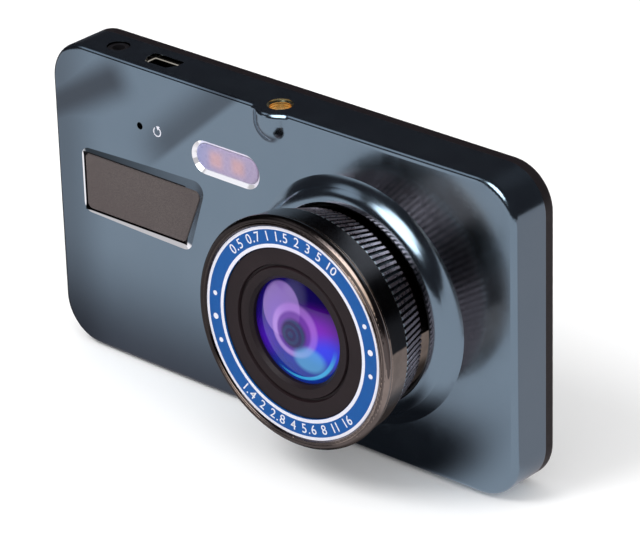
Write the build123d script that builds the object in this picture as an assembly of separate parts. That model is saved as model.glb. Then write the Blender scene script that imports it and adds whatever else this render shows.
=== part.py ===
from build123d import *
import os
from math import cos, pi, sin

# Dash camera with a metal front cover, a 4 inch rear display and a fixed wide-angle lens.
# Millimetres. +X is to the right seen from the lens side, -Y is the way the lens looks, +Z is up.
# The origin is the centre of the mounting hole's mouth, on the top face.

# --- case ---
BODY_W = 115.0
BODY_H = 64.2
CORNER_R = 8.6
FACE_Y = -3.1            # crown of the front face, on the centre line
FACE_CROWN = 0.5         # how far the front face falls back at its left and right ends
SEAM_Y = 6.15            # joint line between front cover and rear frame
BACK_Y = 8.86
WALL = 1.6
INNER_Y = -1.4           # inside of the front wall
FRONT_EDGE_R = 1.2
REAR_EDGE_R = 1.0
MID_Z = -BODY_H / 2
LIP_T = 1.0
LIP_DEPTH = 1.5
LIP_GAP = 0.1
GAP = 0.1                # running gap around every moving piece

# --- mounting thread, M5 in a brass insert ---
BOSS_R = 5.2             # outside, its axis behind the hole's
BOSS_Y = 0.4
BOSS_STRAIGHT = 2.6
BOSS_BLEND_R = 2.2
BOSS_CORE_R = 4.3        # post inside the cover that holds the insert
BOSS_CORE_L = 9.4
MOUTH_R = 2.55
INSERT_R = 3.0
INSERT_TOP = -0.5
INSERT_L = 5.0
INSERT_WAIST_H = 1.2
INSERT_WAIST_T = 0.4
THREAD_R = 2.1

# --- lens, radii about its axis, heights u forward of the Y = 0 plane ---
LENS_X = 20.05
LENS_Z = -33.05
COLLAR_BORE_R = 19.5
COLLAR_TOP_U = 5.8
COLLAR_SHOULDER = (22.7, 4.3)
COLLAR_FOOT_R = 26.6
NECK_R = 18.6
NECK_BORE_R = 17.5
NECK_END_U = -0.1
BARREL_R = 22.6
BARREL_REAR_R = 22.15
BARREL_REAR_U = 14.4
BEZEL_R = 22.95
BEZEL_TOP_U = 21.35
LABEL_TOP_U = 20.9
LABEL_T = 0.4
LABEL_OUTER_R = 20.95
LABEL_INNER_R = 16.8
PLATE_TOP_U = 20.6
PLATE_BOTTOM_U = 16.5
PLATE_SEAT_U = 19.3
GROOVE_R = 13.2
APERTURE_R = 10.5
TUBE_R = 13.85
WINDOW_FLANGE_R = 11.35
WINDOW_APEX_U = 21.3
KNURL_REAR_U = 7.7
KNURL_FRONT_ROOT_R = 21.6
KNURL_REAR_ROOT_R = 19.35
KNURL_RIBS = 110
KNURL_RIB_H = 0.4
M12_R = 6.0

# --- display ---
GLASS_W = 108.0
GLASS_H = 58.4
GLASS_R = 5.0
GLASS_T = 0.7
GLASS_SINK = 0.25
LCD_W = 94.0
LCD_H = 53.0
LCD_T = 1.0
BACKLIGHT_T = 1.2
ADHESIVE_T = 0.2

# --- main board ---
BOARD_FRONT_Y = 3.6
BOARD_T = 0.8
BOARD_W = 94.0
BOARD_TOP = -3.0
BOARD_BOTTOM = -60.6

# --- openings and small parts ---
TRIM_X = (-49.7, -18.8, -23.6, -49.7)     # top left, top right, bottom right, bottom left
TRIM_TOP = -22.7
TRIM_BOTTOM = -34.5
TRIM_R = 1.2
TRIM_DEPTH = 1.0         # floor of the pocket behind the face
TRIM_T = 0.6
TRIM_BEVELS = (1.8, 2.8, 3.9, 1.8)        # left, right, top, bottom, out to RIM_PROUD before the face
RIM_PROUD = 0.3
TAPE_T = 0.1
WINDOW_X = -11.7
WINDOW_Z = -14.5
WINDOW_W = 15.8
WINDOW_H = 5.4
WINDOW_RIM = 1.1
WINDOW_RIM_DEPTH = 0.75
WINDOW_SINK = 0.45
LED_PITCH = 5.6
RESET_X = -33.9
RESET_Z = -12.6
PIN_HOLE_R = 0.75
USB_X = -31.4
USB_Y = 1.6
USB_W = 7.5
USB_D = 3.95
USB_L = 9.2
JACK_X = -43.3
JACK_Y = 1.9
JACK_MOUTH_R = 2.3
JACK_BORE_R = 1.3
CARD_Z = -44.0
CARD_Y = 2.9
CARD_L = 15.0
CARD_W = 11.0
CARD_T = 0.9
BUTTON_NAMES = ("power_button", "menu_button", "mode_button", "up_button", "ok_button", "down_button")
BUTTON_PITCH = 11.0
BUTTON_W = 6.6
BUTTON_D = 2.6
BUTTON_Y = 2.4
BUTTON_PROUD = 0.5
SCREW_R = 0.8
SCREW_HEAD_R = 1.7
CASE_SCREW_X = 50.6
CASE_SCREW_DZ = 25.4
BOARD_SCREWS = ((-44.0, -17.5), (44.0, -8.0), (-44.0, -56.5), (40.0, -57.0))
HOLDER_EAR_DX = 10.4
SPEAKER_X = 49.0
SPEAKER_Z = -46.5

FRONT = Plane.XZ         # local X and Y are the camera's X and Z, the normal looks forward
LENS = Plane(origin=(LENS_X, 0, LENS_Z), x_dir=(1, 0, 0), z_dir=(0, -1, 0))
BOTTOM_Z = -BODY_H
TRIM_FLOOR_Y = FACE_Y + 0.2 + TRIM_DEPTH   # the face has fallen back 0.2 there
BOARD_BACK_Y = BOARD_FRONT_Y + BOARD_T
GLASS_BACK_Y = BACK_Y - GLASS_SINK - GLASS_T
LCD_BACK_Y = GLASS_BACK_Y - ADHESIVE_T
LCD_FRONT_Y = LCD_BACK_Y - LCD_T
BACKLIGHT_FRONT_Y = LCD_FRONT_Y - BACKLIGHT_T
BUTTON_XS = [BUTTON_PITCH * (i - (len(BUTTON_NAMES) - 1) / 2) for i in range(len(BUTTON_NAMES))]
CASE_SCREWS = [(sx * CASE_SCREW_X, MID_Z + sz * CASE_SCREW_DZ) for sx in (-1, 1) for sz in (-1, 1)]
HOLDER_SCREWS = [(LENS_X + s * HOLDER_EAR_DX, LENS_Z) for s in (-1, 1)]


# --- helpers ---

def slab(outline, front_y, back_y):
    """Extrude an outline drawn in X and Z between two Y planes."""
    return extrude(FRONT.offset(-back_y) * outline, amount=back_y - front_y)


def block(x0, x1, y0, y1, z0, z1):
    """Box between two corners."""
    centre = Pos((x0 + x1) / 2, (y0 + y1) / 2, (z0 + z1) / 2)
    return centre * Box(abs(x1 - x0), abs(y1 - y0), abs(z1 - z0))


def rod_y(x, z, radius, y0, y1):
    """Round bar along Y."""
    return slab(Pos(x, z) * Circle(radius), y0, y1)


def rod_z(x, y, radius, z0, z1):
    """Round bar along Z."""
    return Pos(x, y, (z0 + z1) / 2) * Cylinder(radius, abs(z1 - z0))


def turned(points):
    """Turn a closed outline of (radius, u) points about the lens axis."""
    outline = make_face(Polyline(*points, close=True))
    return LENS * revolve(Plane.XZ * outline, Axis.Z)


def tube(inner_r, outer_r, u0, u1):
    """Plain ring about the lens axis."""
    return turned([(inner_r, u0), (outer_r, u0), (outer_r, u1), (inner_r, u1)])


def rounded_box(x0, x1, y0, y1, z0, z1, radius):
    """Box with every edge eased."""
    solid = block(x0, x1, y0, y1, z0, z1)
    return fillet(solid.edges(), radius)


def case_outline(inset=0.0):
    """Outline of the case, seen along Y."""
    return Pos(0, MID_Z) * RectangleRounded(BODY_W - 2 * inset, BODY_H - 2 * inset, CORNER_R - inset)


def cap_lens(radius, u_edge, sag_front, sag_back, edge_t):
    """Lens element: positive sags bulge forwards on both faces."""
    front = ThreePointArc((radius, u_edge + edge_t), *mirror_arc(radius, u_edge + edge_t, sag_front))
    back = ThreePointArc((radius, u_edge), *mirror_arc(radius, u_edge, sag_back))
    side = Line((radius, u_edge), (radius, u_edge + edge_t))
    axis = Line((0, u_edge + sag_back), (0, u_edge + edge_t + sag_front))
    outline = make_face([front, side, back, axis])
    return LENS * revolve(Plane.XZ * outline, Axis.Z)


def mirror_arc(radius, u_edge, sag):
    """Middle and end point of the arc from a lens's edge to its axis."""
    if sag == 0:
        sag = 0.001
    bend = (radius ** 2 + sag ** 2) / (2 * sag)
    half = radius / 2
    middle = u_edge + sag - bend + (1 if bend > 0 else -1) * (bend ** 2 - half ** 2) ** 0.5
    return (half, middle), (0, u_edge + sag)


# --- case ---

def trim_outline(left=0.0, right=0.0, top=0.0, bottom=0.0):
    """Four-sided outline of the trim plate, its right end slanted, grown on each side."""
    tl, tr, br, bl = TRIM_X
    corners = [
        (tl - left, TRIM_TOP + top),
        (tr + right, TRIM_TOP + top),
        (br + right, TRIM_BOTTOM - bottom),
        (bl - left, TRIM_BOTTOM - bottom),
    ]
    outline = make_face(Polyline(*corners, close=True))
    return fillet(outline.vertices(), TRIM_R + min(left, bottom))


def stadium(width, height):
    """Stadium outline of the light window."""
    return Pos(WINDOW_X, WINDOW_Z) * SlotOverall(width, height)


def cover_blank():
    """Crowned outer form of the front cover, with the half-round boss of the mounting thread."""
    half_w = BODY_W / 2
    crown_r = (half_w ** 2 + FACE_CROWN ** 2) / (2 * FACE_CROWN)
    crown = Pos(0, FACE_Y + crown_r, MID_Z) * Cylinder(crown_r, 2 * BODY_H)
    blank = slab(case_outline(), FACE_Y - 1, SEAM_Y) & crown
    boss = rod_z(0, BOSS_Y, BOSS_R, -BOSS_STRAIGHT, 0)
    boss += Pos(0, BOSS_Y, -BOSS_STRAIGHT) * Sphere(BOSS_R)
    boss = boss & block(-BOSS_R, BOSS_R, -BOSS_R, SEAM_Y, BOTTOM_Z, 0)
    blank = blank + boss
    root = []
    for edge in blank.edges():
        box = edge.bounding_box()
        near = abs(edge.center().X) < BOSS_R and box.max.Z < 0.01 and box.min.Z < -0.5
        if near and box.max.Y < FACE_Y + 0.1 and box.min.Y > FACE_Y - 0.1:
            root.append(edge)
    blank = fillet(root, BOSS_BLEND_R)
    rim = []
    for edge in blank.edges():
        box = edge.bounding_box()
        front = box.max.Y < FACE_Y + FACE_CROWN + 0.01
        side = abs(edge.center().X) > half_w - CORNER_R - 0.1
        level = abs(box.max.Z - box.min.Z) < 0.01
        top_or_bottom = level and (abs(box.max.Z) < 0.01 or abs(box.max.Z - BOTTOM_Z) < 0.01)
        if front and (side or top_or_bottom):
            rim.append(edge)
    return fillet(rim, FRONT_EDGE_R)


def collar():
    """Raised collar around the lens, with a rounded lip and shoulder and a wide hollow foot."""
    root_u = -FACE_Y - 1.0
    lip_u = COLLAR_TOP_U - 0.7
    crest = (COLLAR_BORE_R + 0.7, COLLAR_TOP_U)
    foot = (COLLAR_FOOT_R, -FACE_Y - 0.4)
    lip = ThreePointArc((COLLAR_BORE_R, lip_u), (COLLAR_BORE_R + 0.2, COLLAR_TOP_U - 0.2), crest)
    shoulder = ThreePointArc(crest, (COLLAR_BORE_R + 2.1, COLLAR_TOP_U - 0.5), COLLAR_SHOULDER)
    hollow = ThreePointArc(COLLAR_SHOULDER, (24.1, 3.3), foot)
    base = Polyline(foot, (COLLAR_FOOT_R, root_u), (COLLAR_BORE_R, root_u), (COLLAR_BORE_R, lip_u))
    outline = make_face([lip, shoulder, hollow, base])
    return LENS * revolve(Plane.XZ * outline, Axis.Z)


def cover_cavity():
    """Hollow inside the front cover, less the posts that stand in it."""
    cavity = slab(case_outline(WALL), INNER_Y, SEAM_Y)
    for x, z in CASE_SCREWS:
        cavity -= rod_y(x, z, 2.3, INNER_Y, SEAM_Y)
    for x, z in BOARD_SCREWS:
        cavity -= rod_y(x, z, 2.0, INNER_Y, BOARD_FRONT_Y)
    cavity -= slab(trim_outline(2.0, 2.0, 2.0, 2.0), INNER_Y, INNER_Y + 0.5)
    return cavity - rod_z(0, 0, BOSS_CORE_R, -BOSS_CORE_L, 0)


def trim_recess():
    """Pocket of the trim plate. Its bevelled rim is widest above the plate."""
    play = [GAP / 2] * 4
    pocket = slab(trim_outline(*play), FACE_Y - 1, TRIM_FLOOR_Y)
    bevel_y = TRIM_FLOOR_Y - TRIM_T + TAPE_T
    small = FRONT.offset(-bevel_y) * trim_outline(*play)
    large = FRONT.offset(-(FACE_Y - RIM_PROUD)) * trim_outline(*TRIM_BEVELS)
    return pocket + loft([small, large])


def window_opening():
    """Opening of the light window, with a bevelled rim."""
    through = slab(stadium(WINDOW_W, WINDOW_H), FACE_Y - 1, INNER_Y + 1)
    small = FRONT.offset(-(FACE_Y + WINDOW_RIM_DEPTH)) * stadium(WINDOW_W, WINDOW_H)
    wide = stadium(WINDOW_W + 2 * WINDOW_RIM, WINDOW_H + 2 * WINDOW_RIM)
    large = FRONT.offset(-(FACE_Y - RIM_PROUD)) * wide
    return through + loft([small, large])


def port_openings():
    """Cut-outs in the top wall for the supply socket and the video jack."""
    usb = Pos(USB_X, USB_Y, -WALL) * extrude(usb_outline(USB_W + 0.2, USB_D + 0.2), amount=WALL + 1)
    jack = rod_z(JACK_X, JACK_Y, JACK_MOUTH_R, -WALL - 0.1, 1)
    return usb + jack


def usb_outline(width, depth):
    """Five-sided mouth of the supply socket: full width at the back, corners cut at the front."""
    cut = 0.28 * depth
    shoulder = 0.55 * depth
    half_w, half_d = width / 2, depth / 2
    points = [
        (-half_w, half_d),
        (half_w, half_d),
        (half_w, half_d - shoulder),
        (half_w - cut, -half_d),
        (-half_w + cut, -half_d),
        (-half_w, half_d - shoulder),
    ]
    outline = make_face(Polyline(*points, close=True))
    return fillet(outline.vertices(), 0.35)


def bottom_openings():
    """Holes in the bottom wall for the buttons, the speaker and the microphone."""
    low, high = BOTTOM_Z - 1, BOTTOM_Z + WALL + 0.1
    holes = rod_z(-42.0, BUTTON_Y, 0.5, low, high)
    for i in range(5):
        holes += rod_z(38.0 + 2.2 * i, BUTTON_Y, 0.6, low, high)
    for x in BUTTON_XS:
        slot = SlotOverall(BUTTON_W + 2 * GAP, BUTTON_D + 2 * GAP)
        holes += Pos(x, BUTTON_Y, low) * extrude(slot, amount=high - low)
    return holes


def card_opening():
    """Slot for the memory card in the left wall, with a finger notch outside."""
    wall_x = -BODY_W / 2
    half_w, half_t = CARD_W / 2 + 0.2, CARD_T / 2 + 0.2
    slot = block(
        wall_x - 1, wall_x + WALL + 0.1, CARD_Y - half_t, CARD_Y + half_t, CARD_Z - half_w, CARD_Z + half_w,
    )
    notch = Pos(wall_x - 2.4, CARD_Y, CARD_Z) * Sphere(3.3)
    return slot + notch


def front_cover():
    """Metal front cover: face, side walls, lens collar and thread boss in one casting."""
    cover = cover_blank() + collar()
    cover -= cover_cavity()
    cover -= LENS * Pos(0, 0, 3) * Cylinder(COLLAR_BORE_R, 20)
    cover -= trim_recess() + window_opening()
    cover -= port_openings() + bottom_openings() + card_opening()
    cover -= rod_y(RESET_X, RESET_Z, PIN_HOLE_R, FACE_Y - 1, INNER_Y + 0.1)
    cover -= rod_z(0, 0, MOUTH_R, INSERT_TOP, 1)
    cover -= rod_z(0, 0, INSERT_R, INSERT_TOP - INSERT_L, INSERT_TOP)
    for x, z in CASE_SCREWS:
        cover -= rod_y(x, z, SCREW_R, SEAM_Y - 5.5, SEAM_Y)
    for x, z in BOARD_SCREWS:
        cover -= rod_y(x, z, SCREW_R, BOARD_FRONT_Y - 4.0, BOARD_FRONT_Y)
    return cover


def rear_frame():
    """Plastic frame that closes the back and carries the display."""
    frame = slab(case_outline(), SEAM_Y, BACK_Y)
    edges = frame.edges().filter_by_position(Axis.Y, BACK_Y - 0.01, BACK_Y + 0.01)
    frame = fillet(edges, REAR_EDGE_R)
    lip_inset = WALL + LIP_GAP
    frame += slab(case_outline(lip_inset) - case_outline(lip_inset + LIP_T), SEAM_Y - LIP_DEPTH, SEAM_Y)
    glass_seat = Pos(0, MID_Z) * RectangleRounded(GLASS_W + 0.3, GLASS_H + 0.3, GLASS_R)
    frame -= slab(glass_seat, GLASS_BACK_Y, BACK_Y + 1)
    panel_opening = Pos(0, MID_Z) * RectangleRounded(LCD_W + 0.8, LCD_H + 1.6, 1.0)
    frame -= slab(panel_opening, SEAM_Y - 1, BACK_Y)
    for x, z in CASE_SCREWS:
        frame -= rod_y(x, z, SCREW_R + 0.2, SEAM_Y - 1, GLASS_BACK_Y)
        frame -= rod_y(x, z, SCREW_HEAD_R + 0.15, GLASS_BACK_Y - 0.75, GLASS_BACK_Y)
    return frame


def thread_insert():
    """Brass insert with a waist groove that locks it in the casting."""
    bottom = INSERT_TOP - INSERT_L
    insert = rod_z(0, 0, INSERT_R, bottom, INSERT_TOP)
    low = (bottom + INSERT_TOP - INSERT_WAIST_H) / 2
    high = low + INSERT_WAIST_H
    waist = rod_z(0, 0, INSERT_R, low, high) - rod_z(0, 0, INSERT_R - INSERT_WAIST_T, low, high)
    insert -= waist
    return insert - rod_z(0, 0, THREAD_R, bottom - 1, INSERT_TOP + 1)


def trim_plate():
    """Thin textured plate set in the front face."""
    front_y = TRIM_FLOOR_Y - TRIM_T
    plate = slab(trim_outline(), front_y, TRIM_FLOOR_Y - TAPE_T)
    front = plate.edges().filter_by_position(Axis.Y, front_y - 0.01, front_y + 0.01)
    return chamfer(front, 0.12)


def trim_adhesive():
    """Double-sided tape behind the trim plate."""
    return slab(offset(trim_outline(), -0.8), TRIM_FLOOR_Y - TAPE_T, TRIM_FLOOR_Y)


def light_window():
    """Frosted window with a flange that bears on the inside of the cover."""
    front_y = FACE_Y + WINDOW_SINK
    lens = slab(stadium(WINDOW_W - GAP, WINDOW_H - GAP), front_y, INNER_Y)
    front = lens.edges().filter_by_position(Axis.Y, front_y - 0.01, front_y + 0.01)
    lens = fillet(front, 0.3)
    return lens + slab(stadium(WINDOW_W + 1.6, WINDOW_H + 1.6), INNER_Y, INNER_Y + 0.8)


def case_screws():
    """Four screws that clamp the rear frame to the cover, hidden by the display glass."""
    return countersunk_set(CASE_SCREWS, GLASS_BACK_Y - 0.05, 0.65, SEAM_Y - 5.0)


def board_screws():
    """Four screws that hold the main board."""
    return countersunk_set(BOARD_SCREWS, BOARD_BACK_Y + 0.7, 0.7, BOARD_FRONT_Y - 3.6)


def holder_screws():
    """Two screws from behind the board into the lens holder."""
    return countersunk_set(HOLDER_SCREWS, BOARD_BACK_Y + 0.7, 0.7, BOARD_FRONT_Y - 2.8)


def countersunk_set(places, head_y, head_t, tip_y):
    """Group of pan-head screws with a cross recess, heads towards +Y."""
    screws = []
    for x, z in places:
        screw = rod_y(x, z, SCREW_HEAD_R, head_y - head_t, head_y)
        rim = screw.edges().filter_by_position(Axis.Y, head_y - 0.01, head_y + 0.01)
        screw = fillet(rim, 0.25)
        screw += rod_y(x, z, SCREW_R, tip_y, head_y - head_t)
        for long_x, long_z in ((1.0, 0.2), (0.2, 1.0)):
            screw -= block(x - long_x, x + long_x, head_y - 0.45, head_y + 1, z - long_z, z + long_z)
        screws.append(screw)
    return screws


# --- display ---

def display_glass():
    """Cover glass of the display."""
    outline = Pos(0, MID_Z) * RectangleRounded(GLASS_W, GLASS_H, GLASS_R - 0.15)
    glass = slab(outline, GLASS_BACK_Y, GLASS_BACK_Y + GLASS_T)
    return chamfer(glass.faces().sort_by(Axis.Y)[-1].edges(), 0.2)


def display_adhesive():
    """Tape frame between the cover glass and the panel."""
    outer = Pos(0, MID_Z) * Rectangle(LCD_W, LCD_H)
    inner = Pos(0, MID_Z) * Rectangle(LCD_W - 4, LCD_H - 3)
    return slab(outer - inner, LCD_BACK_Y, GLASS_BACK_Y)


def lcd_panel():
    """Liquid crystal panel, its polariser a step smaller than the glass."""
    panel = slab(Pos(0, MID_Z) * Rectangle(LCD_W, LCD_H), LCD_FRONT_Y, LCD_BACK_Y)
    rim = Pos(0, MID_Z) * (Rectangle(LCD_W, LCD_H) - Rectangle(LCD_W - 3, LCD_H - 2))
    return panel - slab(rim, LCD_FRONT_Y, LCD_FRONT_Y + 0.2)


def backlight_unit():
    """Light guide in its pressed tray."""
    tray = slab(Pos(0, MID_Z) * RectangleRounded(LCD_W, LCD_H, 0.8), BACKLIGHT_FRONT_Y, LCD_FRONT_Y)
    window = Pos(0, MID_Z) * Rectangle(LCD_W - 8, LCD_H - 8)
    return tray - slab(window, BACKLIGHT_FRONT_Y, BACKLIGHT_FRONT_Y + 0.15)


def lcd_flex():
    """Ribbon from the panel's lower edge, round the backlight, to the board."""
    edge_z = MID_Z - LCD_H / 2
    y_in, y_out = BACKLIGHT_FRONT_Y - 0.4, LCD_FRONT_Y + 0.5
    middle_y = (y_in + y_out) / 2
    end_z = edge_z + 9
    flex_t = 0.12
    low_z = edge_z - 0.01
    bend = 0.62
    outer = [
        Line((y_out, edge_z), (y_out, low_z)),
        ThreePointArc((y_out, low_z), (middle_y, low_z - bend), (y_in, low_z)),
        Polyline((y_in, low_z), (y_in, end_z), (y_in + flex_t, end_z), (y_in + flex_t, edge_z)),
        ThreePointArc((y_in + flex_t, edge_z), (middle_y, edge_z - bend + flex_t), (y_out - flex_t, edge_z)),
        Line((y_out - flex_t, edge_z), (y_out, edge_z)),
    ]
    return extrude(Plane.YZ.offset(-11) * make_face(outer), amount=22)


def lcd_connector():
    """Board connector that takes the display ribbon."""
    z_top = MID_Z - LCD_H / 2 + 13.5
    return block(-12, 12, BOARD_BACK_Y, BACKLIGHT_FRONT_Y - 0.15, z_top - 4.2, z_top)


# --- boards and components ---

def main_board():
    """Main circuit board, notched round the thread boss, with a tab under the card socket."""
    middle_z = (BOARD_TOP + BOARD_BOTTOM) / 2
    board = Pos(0, middle_z) * RectangleRounded(BOARD_W, BOARD_TOP - BOARD_BOTTOM, 1.5)
    board += Pos(-50.0, CARD_Z) * Rectangle(8, 18)
    board -= Pos(0, -5) * Rectangle(2 * BOSS_CORE_R + 2, 12)
    board = slab(board, BOARD_FRONT_Y, BOARD_BACK_Y)
    for x, z in BOARD_SCREWS + tuple(HOLDER_SCREWS):
        board -= rod_y(x, z, SCREW_R + 0.15, BOARD_FRONT_Y - 1, BOARD_BACK_Y + 1)
    return board


def chip(x, z, width, height, thick):
    """Square-edged package standing on the board's front side."""
    half_w, half_h = width / 2, height / 2
    return block(x - half_w, x + half_w, BOARD_FRONT_Y - thick, BOARD_FRONT_Y, z - half_h, z + half_h)


def processor():
    """Image processor package with a pin-one dimple."""
    package = chamfer(chip(-18, -28, 12, 12, 1.3).faces().sort_by(Axis.Y)[0].edges(), 0.2)
    return package - rod_y(-22.6, -23.4, 0.5, BOARD_FRONT_Y - 1.4, BOARD_FRONT_Y - 1.2)


def memory_chips():
    """Working memory and program memory packages."""
    return [chip(-4.5, -28, 8, 10, 1.1), chip(-31, -26, 6, 8, 0.9)]


def power_parts():
    """Coil and capacitors of the supply."""
    parts = [rounded_box(42.5, 46.5, BOARD_FRONT_Y - 2, BOARD_FRONT_Y, -24, -20, 0.3)]
    for i in range(3):
        parts.append(rod_y(-24 + 5 * i, -6.5, 1.9, BOARD_FRONT_Y - 3.6, BOARD_FRONT_Y))
    return parts


def usb_receptacle():
    """Folded steel shell of the supply socket."""
    top = -0.9
    shell = Pos(USB_X, USB_Y, top - USB_L) * extrude(usb_outline(USB_W, USB_D), amount=USB_L)
    inside = extrude(usb_outline(USB_W - 0.6, USB_D - 0.6), amount=USB_L)
    inside = Pos(USB_X, USB_Y, top - USB_L + 1.2) * inside
    return shell - inside


def usb_tongue():
    """Insulator in the supply socket that carries its contacts."""
    z_low = -0.9 - USB_L + 1.2
    base = block(USB_X - 2.6, USB_X + 2.6, USB_Y - 1.2, USB_Y + 1.6, z_low, z_low + 1.5)
    tongue = block(USB_X - 2.4, USB_X + 2.4, USB_Y + 0.2, USB_Y + 1.1, z_low + 1.5, z_low + 7.0)
    for i in range(5):
        x = USB_X + 0.8 * (i - 2)
        tongue -= block(x - 0.2, x + 0.2, USB_Y, USB_Y + 0.3, z_low + 1.5, z_low + 6.6)
    return base + tongue


def av_jack():
    """Jack for the rear camera's lead, with a round nose in the top wall."""
    body = block(JACK_X - 2.9, JACK_X + 2.9, JACK_Y - 1.7, BOARD_FRONT_Y, -13.0, -WALL - 0.15)
    jack = body + rod_z(JACK_X, JACK_Y, JACK_MOUTH_R - 0.15, -WALL - 0.15, -0.35)
    return jack - rod_z(JACK_X, JACK_Y, JACK_BORE_R, -11.5, 0)


def reset_switch():
    """Small push switch behind the reset pinhole."""
    body = chip(RESET_X, RESET_Z, 3.4, 3.0, 1.9)
    return body - rod_y(RESET_X, RESET_Z, 0.65, BOARD_FRONT_Y - 2, BOARD_FRONT_Y - 0.8)


def reset_plunger():
    """Plunger of the reset switch, reached through the pinhole."""
    tip_y = BOARD_FRONT_Y - 3.0
    plunger = rod_y(RESET_X, RESET_Z, 0.6, tip_y, BOARD_FRONT_Y - 1.2)
    return fillet(plunger.edges().filter_by_position(Axis.Y, tip_y - 0.01, tip_y + 0.01), 0.15)


def card_socket():
    """Push-push socket for the memory card."""
    x0, x1 = -BODY_W / 2 + WALL + 0.3, -41.0
    half_w = CARD_W / 2 + 1.2
    shell = block(x0, x1, CARD_Y - 0.85, BOARD_FRONT_Y, CARD_Z - half_w, CARD_Z + half_w)
    half_t = CARD_T / 2 + GAP
    inner_w = CARD_W / 2 + GAP
    hollow = block(x0 - 1, x1 - 0.5, CARD_Y - half_t, CARD_Y + half_t, CARD_Z - inner_w, CARD_Z + inner_w)
    return shell - hollow


def memory_card():
    """Memory card, with its stepped edge and thumb ridge."""
    x0 = -BODY_W / 2 + 0.2
    card = Pos(x0 + CARD_L / 2, CARD_Z) * RectangleRounded(CARD_L, CARD_W, 0.8)
    card -= Pos(x0 + CARD_L - 2.5, CARD_Z + CARD_W / 2) * Rectangle(5.2, 2.6)
    front_y = CARD_Y - CARD_T / 2
    card = slab(card, front_y, CARD_Y + CARD_T / 2)
    return card - block(x0 + 1.2, x0 + 2.0, front_y - 1, front_y + 0.15, CARD_Z - 4, CARD_Z + 4)


def battery():
    """Flat lithium cell."""
    return rounded_box(-38, -8, INNER_Y + 0.2, INNER_Y + 3.8, -57, -39, 0.8)


def battery_pad():
    """Foam tape between the battery and the cover."""
    return block(-36, -10, INNER_Y, INNER_Y + 0.2, -55, -41)


def battery_lead():
    """Two wires from the battery's edge to the board."""
    wires = []
    for dz in (0.0, 1.2):
        start = (-8.0, 1.0, -44 - dz)
        middle = (-5.0, 1.2, -44.2 - dz)
        end = (-3.0, BOARD_FRONT_Y, -47 - dz)
        path = Spline(start, middle, end, tangents=((1, 0, 0), (0, 1, 0)))
        wires.append(sweep(Plane(origin=start, z_dir=(1, 0, 0)) * Circle(0.4), path=path))
    return wires


def speaker():
    """Small box speaker with a dished cone."""
    z0, z1 = SPEAKER_Z - 6.5, SPEAKER_Z + 6.5
    box = rounded_box(SPEAKER_X - 5, SPEAKER_X + 4.6, INNER_Y, INNER_Y + 3.4, z0, z1, 0.4)
    return box - rod_y(SPEAKER_X, SPEAKER_Z, 3.8, INNER_Y + 2.9, INNER_Y + 4)


def microphone():
    """Microphone package behind its hole in the bottom wall."""
    return chip(-40.0, -59.4, 3.8, 2.0, 1.1)


def led_board():
    """Small board of the light window."""
    return slab(Pos(WINDOW_X, WINDOW_Z) * RectangleRounded(16, 8, 0.8), 1.0, 1.8)


def fill_leds():
    """Two light emitters behind the window."""
    leds = []
    for s in (-1, 1):
        x = WINDOW_X + s * LED_PITCH / 2
        led = block(x - 1.5, x + 1.5, 0.0, 1.0, WINDOW_Z - 1.5, WINDOW_Z + 1.5)
        leds.append(led - rod_y(x, WINDOW_Z, 1.15, -0.1, 0.25))
    return leds


def led_header():
    """Pin header that stands the light board off the main board."""
    return block(WINDOW_X - 4, WINDOW_X + 4, 1.8, BOARD_FRONT_Y, WINDOW_Z - 1.2, WINDOW_Z + 1.2)


# --- lens ---

def lens_barrel():
    """Outer barrel: neck through the collar, cylinder, and rolled bezel around the label."""
    seat_u = LABEL_TOP_U - LABEL_T
    wall_r = LABEL_OUTER_R + 0.05
    lines = [
        Polyline(
            (NECK_BORE_R, NECK_END_U), (NECK_R, NECK_END_U), (NECK_R, BARREL_REAR_U),
            (BARREL_REAR_R - 0.25, BARREL_REAR_U), (BARREL_REAR_R, BARREL_REAR_U + 0.25), (BARREL_R, 19.1),
            (BARREL_R - 0.25, 19.25), (BARREL_R - 0.25, 19.4), (BARREL_R + 0.15, 19.6),
        ),
        ThreePointArc((BARREL_R + 0.15, 19.6), (BEZEL_R, 20.3), (22.5, 21.05)),
        ThreePointArc((22.5, 21.05), (22.2, 21.2), (21.85, 21.1)),
        ThreePointArc((21.85, 21.1), (21.7, 21.03), (21.55, 21.15)),
        ThreePointArc((21.55, 21.15), (21.35, BEZEL_TOP_U), (21.15, 21.2)),
        Polyline(
            (21.15, 21.2), (wall_r, LABEL_TOP_U), (wall_r, seat_u), (LABEL_INNER_R, seat_u),
            (LABEL_INNER_R, PLATE_SEAT_U), (TUBE_R + 0.05, PLATE_SEAT_U), (TUBE_R + 0.05, 18.0),
            (NECK_BORE_R, 17.0), (NECK_BORE_R, NECK_END_U),
        ),
    ]
    return LENS * revolve(Plane.XZ * make_face(lines), Axis.Z)


def knurled_ring():
    """Tapered grip ring with straight ribs."""
    def cross_section(root_r):
        points = []
        for i in range(KNURL_RIBS):
            for phase, rise in ((0.0, 0.0), (0.30, 0.0), (0.42, KNURL_RIB_H), (0.88, KNURL_RIB_H)):
                angle = 2 * pi * (i + phase) / KNURL_RIBS
                points.append(((root_r + rise) * cos(angle), (root_r + rise) * sin(angle)))
        return make_face(Polyline(*points, close=True))

    rear = Pos(0, 0, KNURL_REAR_U) * cross_section(KNURL_REAR_ROOT_R)
    front = Pos(0, 0, BARREL_REAR_U) * cross_section(KNURL_FRONT_ROOT_R)
    ring = loft([rear, front], ruled=True)
    return LENS * (ring - Pos(0, 0, 11) * Cylinder(NECK_R + 0.05, 20))


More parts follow.
